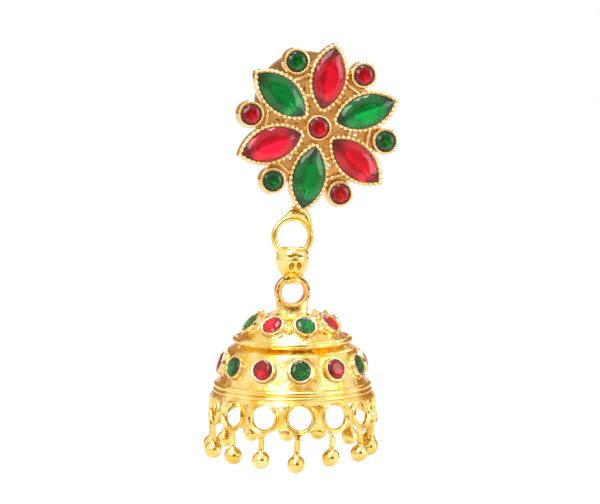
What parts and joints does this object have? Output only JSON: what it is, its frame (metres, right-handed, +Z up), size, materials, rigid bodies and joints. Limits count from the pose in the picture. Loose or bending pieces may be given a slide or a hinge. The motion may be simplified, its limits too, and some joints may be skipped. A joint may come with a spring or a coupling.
{
  "type": "jhumka earring",
  "caption": "Gold-tone jhumka earring: a stone-set flower stud, a connector link and a hollow two-tier bell with a fringe of rings and ball drops.",
  "frame": {"origin": "centre of the ear post where it leaves the flower's flat back, which lies on the ear's front", "axes": "+Z up as the earring hangs, +Y along the ear post away from the flower's front, so the flower faces -Y; +X to the viewer's right"},
  "size_m": [0.0224, 0.0205, 0.0473],
  "materials": {
    "gold_plate": "polished gold plate",
    "ear_back_metal": "satin, slightly dulled plate",
    "red_glass": "cut glass stone, foiled back",
    "green_glass": "cut glass stone, foiled back"
  },
  "bodies": {
    "stud": {"centre_stone": "red_glass", "ear_back": "ear_back_metal", "flower_frame": "gold_plate", "petal_stone_1": "green_glass", "petal_stone_2": "red_glass", "petal_stone_3": "green_glass", "petal_stone_4": "red_glass", "petal_stone_5": "green_glass", "petal_stone_6": "red_glass", "round_stone_1": "red_glass", "round_stone_2": "green_glass", "round_stone_3": "red_glass", "round_stone_4": "green_glass", "round_stone_5": "red_glass", "round_stone_6": "green_glass"},
    "link": {"connector_link": "gold_plate"},
    "bell": {"ball_drop_01": "gold_plate", "ball_drop_02": "gold_plate", "ball_drop_03": "gold_plate", "ball_drop_04": "gold_plate", "ball_drop_05": "gold_plate", "ball_drop_06": "gold_plate", "ball_drop_07": "gold_plate", "ball_drop_08": "gold_plate", "ball_drop_09": "gold_plate", "ball_drop_10": "gold_plate", "ball_drop_11": "gold_plate", "ball_drop_12": "gold_plate", "ball_drop_13": "gold_plate", "ball_drop_14": "gold_plate", "band_stone_01": "green_glass", "band_stone_02": "red_glass", "band_stone_03": "green_glass", "band_stone_04": "red_glass", "band_stone_05": "green_glass", "band_stone_06": "red_glass", "band_stone_07": "green_glass", "band_stone_08": "red_glass", "band_stone_09": "green_glass", "band_stone_10": "red_glass", "band_stone_11": "green_glass", "band_stone_12": "red_glass", "bell_dome": "gold_plate", "cap_stone_1": "green_glass", "cap_stone_2": "red_glass", "cap_stone_3": "green_glass", "cap_stone_4": "red_glass", "cap_stone_5": "green_glass", "cap_stone_6": "red_glass", "cap_stone_7": "green_glass", "cap_stone_8": "red_glass", "fringe": "gold_plate"}
  },
  "joints": [
    {"name": "link_swing", "type": "hinge", "parent": "stud", "child": "link", "pos_m": [-0.00285, -0.00045, -0.0169], "axis": [1, 0, 0], "range_deg": [-35, 35]},
    {"name": "bell_swing", "type": "hinge", "parent": "link", "child": "bell", "pos_m": [-0.00285, -0.00045, -0.0211], "axis": [0, 1, 0], "range_deg": [-60, 60]}
  ]
}
